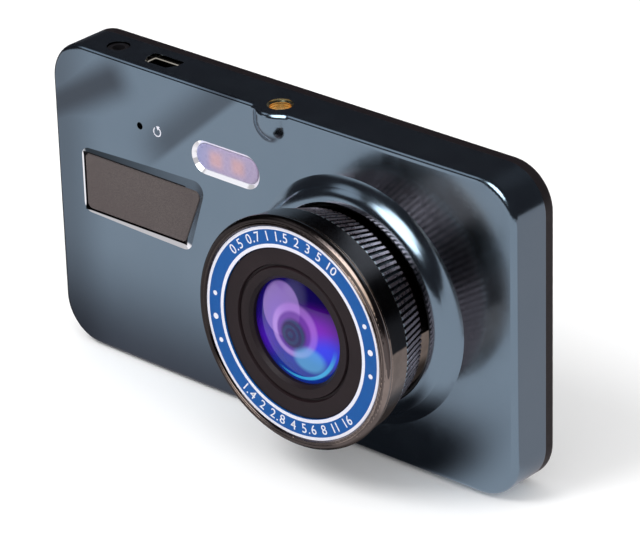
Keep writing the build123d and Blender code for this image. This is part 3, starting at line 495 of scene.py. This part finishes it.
def white_ink():
    """White screen print with a slightly uneven body."""
    f = Finish("white_ink")
    body = f.noise(2.4, 4.0, 0.6)
    f.set(base_color=f.mix(body, colour(196, 196, 208), colour(214, 213, 222)), roughness=0.5,
          normal=f.bump(body, 0.006, 0.4))
    return f.material


def plate_black():
    """Matt face plate round the glass, purple-brown, with concentric turning marks."""
    f = Finish("plate_black")
    radius = f.lens_radius()
    base = f.mix(f.noise(0.14, 3.0), colour(24, 15, 18), colour(36, 24, 27))
    near = f.step(radius, 13.0, 10.8, 0.0, 0.35)
    base = f.mix(near, base, colour(20, 13, 17))
    marks = f.math("SINE", f.math("MULTIPLY", radius, 2 * math.pi / 0.22))
    grain = f.noise(8.0, 3.0, 0.7)
    f.set(base_color=base, roughness=f.step(grain, 0.3, 0.7, 0.44, 0.56), specular_ior_level=0.35,
          normal=f.bump(grain, 0.008, 0.4, after=f.bump(marks, 0.004, 0.3)))
    return f.material


def display_glass():
    """Black-bordered cover glass, with the dark panel under its clear part and faint finger marks."""
    f = Finish("display_glass")
    panel_low, panel_high = box_mm("lcd_panel")
    clear = f.within(panel_low, panel_high, -2.0, 0.1)
    behind = f.mix(clear, (0.0035, 0.0035, 0.004), (0.010, 0.012, 0.016))
    prints = f.noise(0.10, 5.0, 0.6, distortion=2.0)
    ridges = f.math("SINE", f.math("MULTIPLY", f.noise(0.12, 2.0, 0.5, distortion=1.0), 220.0))
    smear = f.math("MULTIPLY", f.step(prints, 0.52, 0.68), f.step(ridges, -1.0, 1.0, 0.4, 1.0))
    f.set(base_color=behind, roughness=f.math("ADD", 0.035, f.math("MULTIPLY", smear, 0.13)),
          specular_ior_level=0.5, coat_weight=0.0, normal=f.bump(f.noise(0.2), 0.01, 0.05))
    return f.material


def board_resin():
    """Green-black board with copper tracks under the solder mask and bare pads."""
    f = Finish("board_resin")
    tracks = f.node("ShaderNodeTexBrick", offset=0.5, squash=0.6)
    f.join(f.stretched((0.5, 0.5, 0.5)), tracks.inputs["Vector"])
    tracks.inputs["Mortar Size"].default_value = 0.06
    tracks.inputs["Scale"].default_value = 1.2
    line = f.step(tracks.outputs["Fac"], 0.3, 0.7)
    base = f.mix(line, colour(14, 46, 30), colour(26, 78, 46))
    pads = f.step(f.cells(0.55), 0.16, 0.12)
    base = f.mix(pads, base, colour(196, 164, 96))
    f.set(base_color=base, metallic=f.math("MULTIPLY", pads, 0.9), roughness=f.step(pads, 0, 1, 0.4, 0.3),
          normal=f.bump(line, 0.03, 0.6))
    return f.material


def lens_coating_reflections():
    """Coated front glass with painted reflections: ghost images of two round lamps, the iris ring and the
    rim, over indigo, glowing a little.
    """
    f = Finish("lens_coating_reflections")
    radius = f.lens_radius()
    angle = f.lens_angle()
    base = f.mix(f.step(radius, 3.0, 10.5), colour(38, 14, 150), colour(20, 6, 92))
    # upper right falls to near black, the right is violet then blue, the bottom teal
    upper_right = f.disc((5.5, 7.0), 5.0, 7.0, (1.5, 1.0))
    base = f.mix(f.math("MULTIPLY", upper_right, 0.85), base, colour(12, 4, 60))
    violet = f.disc((4.6, 1.6), 3.6, 6.5, (1.5, 0.9))
    base = f.mix(f.math("MULTIPLY", violet, 0.85), base, colour(118, 14, 176))
    blue = f.disc((7.4, -2.3), 3.2, 5.0, (1.2, 0.9))
    base = f.mix(f.math("MULTIPLY", blue, 0.85), base, colour(34, 56, 226))
    lower = f.disc((1.0, -8.2), 4.2, 5.5, (2.0, 1.0))
    base = f.mix(f.math("MULTIPLY", lower, 0.8), base, colour(16, 52, 150))
    left = f.disc((-7.5, -3.5), 3.0, 5.0)
    base = f.mix(f.math("MULTIPLY", left, 0.7), base, colour(70, 18, 170))
    lamp = f.disc((-3.0, 4.1), 5.0, 0.5)
    base = f.mix(f.math("MULTIPLY", lamp, 0.42), base, colour(176, 140, 220))
    outer = f.disc((0.6, 0.85), 5.3, 0.8)
    base = f.mix(f.math("MULTIPLY", outer, 0.35), base, colour(146, 70, 190))
    inner = f.disc((0.6, 0.7), 4.0, 0.8)
    base = f.mix(f.math("MULTIPLY", inner, 0.6), base, colour(66, 26, 120))
    crescent = f.math("SUBTRACT", outer, inner, clamp=True)
    middle = AXIS_X + AXIS_Z
    lower_left = f.step(f.math("ADD", f.x, f.z), middle + 5.0, middle - 3.0, 0.12, 0.34)
    base = f.mix(f.math("MULTIPLY", crescent, lower_left), base, colour(206, 178, 236))
    cyan = f.disc((3.7, -4.4), 3.2, 1.8, (1.0, 0.85))
    base = f.mix(f.math("MULTIPLY", cyan, 0.6), base, colour(84, 164, 206))
    pupil = f.disc((0.6, 0.3), 2.9, 1.2)
    waves = f.step(f.math("SINE", f.math("MULTIPLY", radius, 2 * math.pi / 1.3)), -1, 1, 0.0, 1.0)
    dark = f.mix(waves, colour(20, 22, 66), colour(16, 50, 84))
    base = f.mix(f.math("MULTIPLY", pupil, 0.9), base, dark)
    rim = f.math("MULTIPLY", f.step(radius, 8.8, 9.1), f.step(radius, 9.8, 9.5))
    at_bottom = f.step(f.math("SINE", f.math("SUBTRACT", angle, math.radians(25))), -0.5, -0.95)
    base = f.mix(f.math("MULTIPLY", rim, at_bottom), base, colour(56, 160, 214))
    f.set(base_color=f.mix(1.0, base, (0.5, 0.5, 0.5), "MULTIPLY"), roughness=0.03, coat_weight=0.4,
          coat_roughness=0.01, normal=f.bump(f.noise(0.3), 0.002, 0.05))
    # painted reflections: the pattern also glows
    f.set(emission_color=base, emission_strength=0.55)
    return f.material


def glass(name, tint, coat):
    """Clear coated optical glass with a faint haze."""
    f = Finish(name)
    haze = f.noise(0.7, 3.0)
    f.set(base_color=f.mix(haze, tint, tuple(min(1.0, c * 1.1) for c in tint)),
          roughness=f.step(haze, 0.3, 0.7, 0.02, 0.05), transmission_weight=0.9, ior=1.52, coat_weight=0.5,
          coat_tint=coat)
    return f.material


materials = {
    "cover_paint": cover_paint(),
    "frame_plastic": plastic("frame_plastic", colour(20, 16, 18), colour(30, 25, 28), (0.3, 0.42)),
    "insert_brass": insert_brass(),
    "trim_finish": trim_finish(),
    "tape": plastic("tape", colour(30, 30, 32), colour(46, 45, 48), (0.7, 0.85), 4.0, 0.04),
    "window_plastic": window_plastic(),
    "screw_steel": metal("screw_steel", (0.34, 0.33, 0.33), (0.5, 0.49, 0.48), (0.25, 0.4)),
    "display_glass": display_glass(),
    "panel": plastic("panel", colour(16, 18, 24), colour(24, 28, 38), (0.12, 0.2)),
    "tray_steel": metal("tray_steel", (0.55, 0.54, 0.5), (0.7, 0.68, 0.62), (0.2, 0.35), (1, 1, 12)),
    "flex_film": plastic("flex_film", colour(150, 84, 22), colour(182, 110, 36), (0.25, 0.4), coat=0.4),
    "board_resin": board_resin(),
    "package_black": plastic("package_black", colour(20, 20, 22), colour(34, 34, 37), (0.4, 0.55)),
    "connector_plastic": plastic("connector_plastic", colour(214, 208, 190), colour(232, 228, 214)),
    "parts_metal": metal("parts_metal", (0.5, 0.48, 0.44), (0.66, 0.63, 0.58)),
    "black_plastic": plastic("black_plastic", colour(16, 15, 17), colour(27, 25, 28), (0.3, 0.45)),
    "plunger_plastic": plastic("plunger_plastic", colour(24, 24, 28), colour(38, 38, 42), (0.4, 0.5)),
    "cell_foil": metal("cell_foil", (0.5, 0.52, 0.54), (0.66, 0.68, 0.7), (0.25, 0.42)),
    "lead_insulation": plastic("lead_insulation", colour(150, 18, 16), colour(178, 30, 24), (0.3, 0.45)),
    "barrel_metal": turned_metal("barrel_metal", (0.15, 0.125, 0.12), (0.22, 0.18, 0.165), (0.12, 0.22),
                                 warm=(0.95, 0.78, 0.68), painted_barrel_light=True),
    "knurl_metal": knurl_metal(),
    "black_metal": turned_metal("black_metal", (0.03, 0.03, 0.035), (0.06, 0.055, 0.06), (0.35, 0.5)),
    "label_print": label_blue(),
    "plate_black": plate_black(),
    "lens_glass": glass("lens_glass", (0.9, 0.95, 1.0), (0.5, 0.3, 1.0)),
    "filter_glass": glass("filter_glass", (0.5, 0.85, 0.9), (1.0, 0.3, 0.4)),
    "button_metal": metal("button_metal", (0.26, 0.33, 0.40), (0.36, 0.44, 0.52), (0.22, 0.34)),
}
SPECIAL = {"lens_window": lens_coating_reflections(), "usb_receptacle": usb_shell()}

for name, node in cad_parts.items():
    slot_name = node.data.materials[0].name.split(".")[0]
    chosen = SPECIAL.get(name) or materials[slot_name]
    node.data.materials.clear()
    node.data.materials.append(chosen)


# --- printed marks, as geometry ---

def add_piece(name, bm, material, body, smooth_angle=math.radians(40)):
    """Turns a bmesh in millimetres into a piece that rides on a body."""
    bmesh.ops.recalc_face_normals(bm, faces=bm.faces)
    mesh = bpy.data.meshes.new(name)
    bm.to_mesh(mesh)
    bm.free()
    mesh.transform(Matrix.Scale(MM, 4))
    piece = bpy.data.objects.new(name, mesh)
    bpy.context.scene.collection.objects.link(piece)
    mesh.materials.append(material)
    mesh.shade_smooth()
    mesh.set_sharp_from_angle(angle=smooth_angle)
    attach(piece, body)
    return piece


def add_band(bm, centre, inner, outer, front, thick, steps=192):
    """Flat printed ring about an axis along Y; a disc when inner is 0."""
    cx, cz = centre
    rows = []
    for y in (front, front - thick):
        for radius in ((inner, outer) if inner else (outer,)):
            ring = []
            for i in range(steps):
                turn = 2 * math.pi * i / steps
                ring.append(bm.verts.new((cx + radius * math.cos(turn), y, cz + radius * math.sin(turn))))
            rows.append(ring)
    if inner:
        order = (0, 1, 3, 2)
        pairs = [(rows[order[k]], rows[order[(k + 1) % 4]]) for k in range(4)]
    else:
        pairs = [(rows[0], rows[1])]
        bm.faces.new(rows[0])
        bm.faces.new(rows[1])
    for first, second in pairs:
        for i in range(steps):
            j = (i + 1) % steps
            bm.faces.new((first[i], first[j], second[j], second[i]))


def add_glyph(bm, text, size, place, turn, front, thick, weight=0.0):
    """One generic numeral or sign of the built-in typeface, laid on a plane that faces -Y.
    place is the (x, z) of its middle and turn its angle about the lens direction."""
    curve = bpy.data.curves.new("glyph", "FONT")
    curve.body = text
    curve.size = size
    curve.offset = weight
    curve.align_x = "CENTER"
    curve.align_y = "CENTER"
    curve.resolution_u = 6
    holder = bpy.data.objects.new("glyph", curve)
    bpy.context.scene.collection.objects.link(holder)
    bpy.context.view_layer.update()
    mesh = bpy.data.meshes.new_from_object(holder.evaluated_get(bpy.context.evaluated_depsgraph_get()))
    bpy.data.objects.remove(holder)
    bpy.data.curves.remove(curve)
    flat = bmesh.new()
    flat.from_mesh(mesh)
    bpy.data.meshes.remove(mesh)
    bmesh.ops.remove_doubles(flat, verts=flat.verts, dist=size * 1e-4)
    grown = bmesh.ops.extrude_face_region(flat, geom=list(flat.faces))
    raised = [item for item in grown["geom"] if isinstance(item, bmesh.types.BMVert)]
    bmesh.ops.translate(flat, verts=raised, vec=(0, 0, thick))
    stand = Matrix(((1, 0, 0, 0), (0, 0, -1, 0), (0, 1, 0, 0), (0, 0, 0, 1)))
    spin = Matrix.Rotation(-turn, 4, "Y")
    shift = Matrix.Translation((place[0], front, place[1]))
    flat.transform(shift @ spin @ stand)
    temporary = bpy.data.meshes.new("glyph")
    flat.to_mesh(temporary)
    flat.free()
    bm.from_mesh(temporary)
    bpy.data.meshes.remove(temporary)


def on_ring(radius, degrees):
    """(x, z) at an angle round the lens axis, measured from +X towards +Z."""
    turn = math.radians(degrees)
    return AXIS_X + radius * math.cos(turn), AXIS_Z + radius * math.sin(turn)


PRINT_T = 0.02
BORDER_PLAY = 0.03          # printed borders keep this far from the edges of the ring
INNER_BORDER = 0.69
OUTER_BORDER = 0.59
DOT_ANGLES = (171.9, 186.5, 200.8, 21.8, 6.5, -8.1)
BIG_DOT_ANGLES = (186.5, 6.5)
DOT_R = 0.48
BIG_DOT_R = 0.60
UPPER_MIDDLE = 96.5
LOWER_MIDDLE = -87.0
SIGN_WIDTH = 0.58           # of most signs, as a share of their size
NUMBER_R = 18.95
NUMBER_SIZE = 2.7
SIGN_WIDTHS = {".": 0.30, " ": 0.42, "1": 0.44}
UPPER_SCALE = "0.5 0.7 1 1.5 2 3 5 10"
LOWER_SCALE = "1.4 2 2.8 4 5.6 8 11 16"
ink = white_ink()


def label_scale():
    """White borders, index dots and two number scales on the blue ring."""
    bm = bmesh.new()
    front = LABEL_FRONT
    inner, outer = LABEL_INNER + BORDER_PLAY, LABEL_OUTER - BORDER_PLAY
    add_band(bm, (AXIS_X, AXIS_Z), inner, inner + INNER_BORDER, front, PRINT_T)
    add_band(bm, (AXIS_X, AXIS_Z), outer - OUTER_BORDER, outer, front, PRINT_T)
    for degrees in DOT_ANGLES:
        radius = BIG_DOT_R if degrees in BIG_DOT_ANGLES else DOT_R
        add_band(bm, on_ring(NUMBER_R, degrees), 0, radius, front, PRINT_T, 32)
    for text, middle, way in ((UPPER_SCALE, UPPER_MIDDLE, -1), (LOWER_SCALE, LOWER_MIDDLE, 1)):
        widths = [SIGN_WIDTHS.get(sign, SIGN_WIDTH) * NUMBER_SIZE for sign in text]
        along = -sum(widths) / 2
        for sign, width in zip(text, widths):
            degrees = middle + way * math.degrees((along + width / 2) / NUMBER_R)
            turn = math.radians(degrees + 90 * way)
            along += width
            if sign != " ":
                add_glyph(bm, sign, NUMBER_SIZE, on_ring(NUMBER_R, degrees), turn, front, PRINT_T, 0.008)
    add_piece("label_scale", bm, ink, HOUSING)


label_scale()


def face_y(x, z):
    """Where the front of the cover lies at a place on it."""
    bpy.context.view_layer.update()
    start = Vector((x, COVER_FRONT - 10, z)) * MM
    hit, place, _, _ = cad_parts["front_cover"].ray_cast(start, Vector((0, 1, 0)))
    return place.y / MM if hit else COVER_FRONT


MARK_GAP = 4.6              # from the reset hole to the middle of its mark
MARK_R = 0.9
MARK_LINE = 0.24
MARK_START = 60             # degrees, and how far the open ring runs from there
MARK_SWEEP = 290
MARK_STEPS = 40
HEAD_L = 0.75
HEAD_HALF_W = 0.52


def add_prism(bm, outline, front):
    """Raises a closed outline of (x, z) points from the face by the thickness of print."""
    near = [bm.verts.new((x, front - PRINT_T, z)) for x, z in outline]
    far = [bm.verts.new((x, front, z)) for x, z in outline]
    bm.faces.new(near)
    bm.faces.new(far)
    for i in range(len(outline)):
        j = (i + 1) % len(outline)
        bm.faces.new((near[i], near[j], far[j], far[i]))


def reset_mark():
    """Generic return arrow printed beside the reset hole: an open ring with an arrow head."""
    bm = bmesh.new()
    cx, cz = RESET.x + MARK_GAP, RESET.z
    front = face_y(cx, cz)
    rows = []
    for y in (front, front - PRINT_T):
        for radius in (MARK_R - MARK_LINE / 2, MARK_R + MARK_LINE / 2):
            row = []
            for i in range(MARK_STEPS + 1):
                turn = math.radians(MARK_START - MARK_SWEEP * i / MARK_STEPS)
                row.append(bm.verts.new((cx + radius * math.cos(turn), y, cz + radius * math.sin(turn))))
            rows.append(row)
    for first, second in ((0, 1), (1, 3), (3, 2), (2, 0)):
        for i in range(MARK_STEPS):
            bm.faces.new((rows[first][i], rows[first][i + 1], rows[second][i + 1], rows[second][i]))
    for end in (0, MARK_STEPS):
        bm.faces.new([rows[k][end] for k in (0, 1, 3, 2)])
    turn = math.radians(MARK_START)
    out = Vector((math.cos(turn), math.sin(turn)))
    along = Vector((-out.y, out.x))
    neck = Vector((cx, cz)) + out * MARK_R
    add_prism(bm, (neck + along * HEAD_L, neck + out * HEAD_HALF_W, neck - out * HEAD_HALF_W), front)
    add_piece("reset_mark", bm, ink, HOUSING)


reset_mark()


# --- camera, floor and light ---

LENS_MM = 214.15
CAMERA_PLACE = Vector((0.43603, -0.47703, 0.28181))
CAMERA_RIGHT = Vector((0.75300, 0.65751, -0.02601))
CAMERA_UP = Vector((-0.27134, 0.34627, 0.89804))


def make_camera():
    data = bpy.data.cameras.new("camera")
    data.sensor_width = 36.0
    data.lens = LENS_MM
    data.clip_start = 0.01
    data.clip_end = 20.0
    camera = bpy.data.objects.new("camera", data)
    turned = Matrix((CAMERA_RIGHT, CAMERA_UP, CAMERA_RIGHT.cross(CAMERA_UP))).transposed()
    camera.matrix_world = Matrix.Translation(CAMERA_PLACE) @ turned.to_4x4()
    bpy.context.scene.collection.objects.link(camera)
    bpy.context.scene.camera = camera


def make_floor():
    """Pale floor under the part. It gives no mirror image, so the gloss sees only the studio."""
    bm = bmesh.new()
    bmesh.ops.create_grid(bm, x_segments=8, y_segments=8, size=6.0)
    mesh = bpy.data.meshes.new("floor")
    bm.to_mesh(mesh)
    bm.free()
    floor = bpy.data.objects.new("floor", mesh)
    floor.location.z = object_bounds()[0][2] - 0.0001
    bpy.context.scene.collection.objects.link(floor)
    f = Finish("floor_paper")
    f.set(base_color=f.mix(f.noise(0.01, 3.0), (0.93, 0.93, 0.935), (0.96, 0.96, 0.96)), roughness=0.9)
    mesh.materials.append(f.material)
    floor.visible_glossy = False
    floor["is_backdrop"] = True


def make_table_image():
    """What glossy surfaces see below the horizon: pale paper with painted shadow where the part stands over
    it, painted darker patches to its left and behind it, and darker far away.
    """
    bm = bmesh.new()
    bmesh.ops.create_grid(bm, x_segments=1, y_segments=1, size=3.0)
    mesh = bpy.data.meshes.new("table_image")
    bm.to_mesh(mesh)
    bm.free()
    table = bpy.data.objects.new("table_image", mesh)
    table.location.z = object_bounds()[0][2] - 0.001
    bpy.context.scene.collection.objects.link(table)
    f = Finish("table_image")
    near = f.math("MULTIPLY", f.step(f.y, -42.0, -4.0), f.step(f.x, 44.0, 30.0))
    light = f.mix(near, (0.47, 0.465, 0.485), (0.13, 0.115, 0.125))
    dx = f.math("MULTIPLY", f.math("SUBTRACT", f.x, AXIS_X + 2), 1 / 20)
    dy = f.math("MULTIPLY", f.math("ADD", f.y, 10.0), 1 / 16)
    light = f.mix(f.step(f.length(dx, dy), 1.35, 0.5), light, (0.012, 0.012, 0.014))
    left = f.math("MULTIPLY", f.step(f.y, -25.0, 15.0), f.step(f.x, -40.0, -70.0))
    light = f.mix(f.math("MULTIPLY", left, 0.9), light, (0.03, 0.03, 0.035))
    behind = f.math("MULTIPLY", f.step(f.y, 0.0, 12.0), f.step(f.x, 0.0, 30.0))
    light = f.mix(behind, light, (0.33, 0.30, 0.305))
    far = f.vector("LENGTH", f.place)
    light = f.mix(f.step(far, 900.0, 2800.0), light, (0.2, 0.2, 0.21))
    glow = f.node("ShaderNodeEmission")
    f.join(light, glow.inputs["Color"])
    f.links.new(glow.outputs[0], f.nodes["Material Output"].inputs["Surface"])
    mesh.materials.append(f.material)
    for ray in ("camera", "diffuse", "transmission", "volume_scatter", "shadow"):
        setattr(table, "visible_" + ray, False)
    table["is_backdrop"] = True


# direction, half angle of the even middle, half angle where it ends, light
STUDIO = (
    ((0.18, -0.60, 0.77), 17, 28, (3.0, 3.05, 3.1)),
    ((-0.60, -0.44, 0.67), 6, 16, (0.42, 0.43, 0.46)),
    ((-0.60, -0.80, 0.02), 5, 17, (0.55, 0.55, 0.57)),
    ((0.0, 1.0, 0.30), 10, 30, (0.16, 0.16, 0.17)),
)
STUDIO_DARK = (0.020, 0.018, 0.021)


def make_world():
    """Pale to the camera, even to matt surfaces, and a dark studio with soft boxes to glossy ones."""
    world = bpy.data.worlds.new("studio")
    bpy.context.scene.world = world
    world.use_nodes = True
    nodes, links = world.node_tree.nodes, world.node_tree.links
    nodes.clear()
    coords = nodes.new("ShaderNodeTexCoord")
    total = None
    for direction, inner, outer, light in STUDIO:
        dot = nodes.new("ShaderNodeVectorMath")
        dot.operation = "DOT_PRODUCT"
        links.new(coords.outputs["Generated"], dot.inputs[0])
        dot.inputs[1].default_value = Vector(direction).normalized()
        ramp = nodes.new("ShaderNodeMapRange")
        ramp.interpolation_type = "SMOOTHSTEP"
        links.new(dot.outputs["Value"], ramp.inputs[0])
        ramp.inputs[1].default_value = math.cos(math.radians(outer))
        ramp.inputs[2].default_value = math.cos(math.radians(inner))
        scaled = nodes.new("ShaderNodeVectorMath")
        scaled.operation = "SCALE"
        scaled.inputs[0].default_value = light
        links.new(ramp.outputs[0], scaled.inputs["Scale"])
        added = nodes.new("ShaderNodeVectorMath")
        added.operation = "ADD"
        links.new(scaled.outputs[0], added.inputs[0])
        if total is None:
            added.inputs[1].default_value = STUDIO_DARK
        else:
            links.new(total, added.inputs[1])
        total = added.outputs[0]
    path = nodes.new("ShaderNodeLightPath")
    shiny = nodes.new("ShaderNodeBackground")
    links.new(total, shiny.inputs["Color"])
    even = nodes.new("ShaderNodeBackground")
    even.inputs["Color"].default_value = (1.0, 1.0, 1.0, 1)
    even.inputs["Strength"].default_value = 0.85
    pale = nodes.new("ShaderNodeBackground")
    pale.inputs["Color"].default_value = (1.0, 1.0, 1.0, 1)
    first = nodes.new("ShaderNodeMixShader")
    links.new(path.outputs["Is Glossy Ray"], first.inputs[0])
    links.new(even.outputs[0], first.inputs[1])
    links.new(shiny.outputs[0], first.inputs[2])
    second = nodes.new("ShaderNodeMixShader")
    links.new(path.outputs["Is Camera Ray"], second.inputs[0])
    links.new(first.outputs[0], second.inputs[1])
    links.new(pale.outputs[0], second.inputs[2])
    out = nodes.new("ShaderNodeOutputWorld")
    links.new(second.outputs[0], out.inputs["Surface"])


def make_lamp(name, place, aim, size, power):
    data = bpy.data.lights.new(name, "AREA")
    data.shape = "DISK"
    data.size = size
    data.energy = power
    lamp = bpy.data.objects.new(name, data)
    lamp.location = place
    lamp.rotation_euler = (Vector(aim) - Vector(place)).to_track_quat("-Z", "Y").to_euler()
    lamp.visible_glossy = False
    bpy.context.scene.collection.objects.link(lamp)


make_camera()
make_floor()
make_table_image()
make_world()
make_lamp("key", (-0.25, -0.6, 0.75), (0, 0, -0.03), 0.5, 6.0)
make_lamp("fill", (0.7, -0.3, 0.4), (0, 0, -0.03), 0.5, 2.0)
bpy.context.scene.view_settings.view_transform = "Standard"
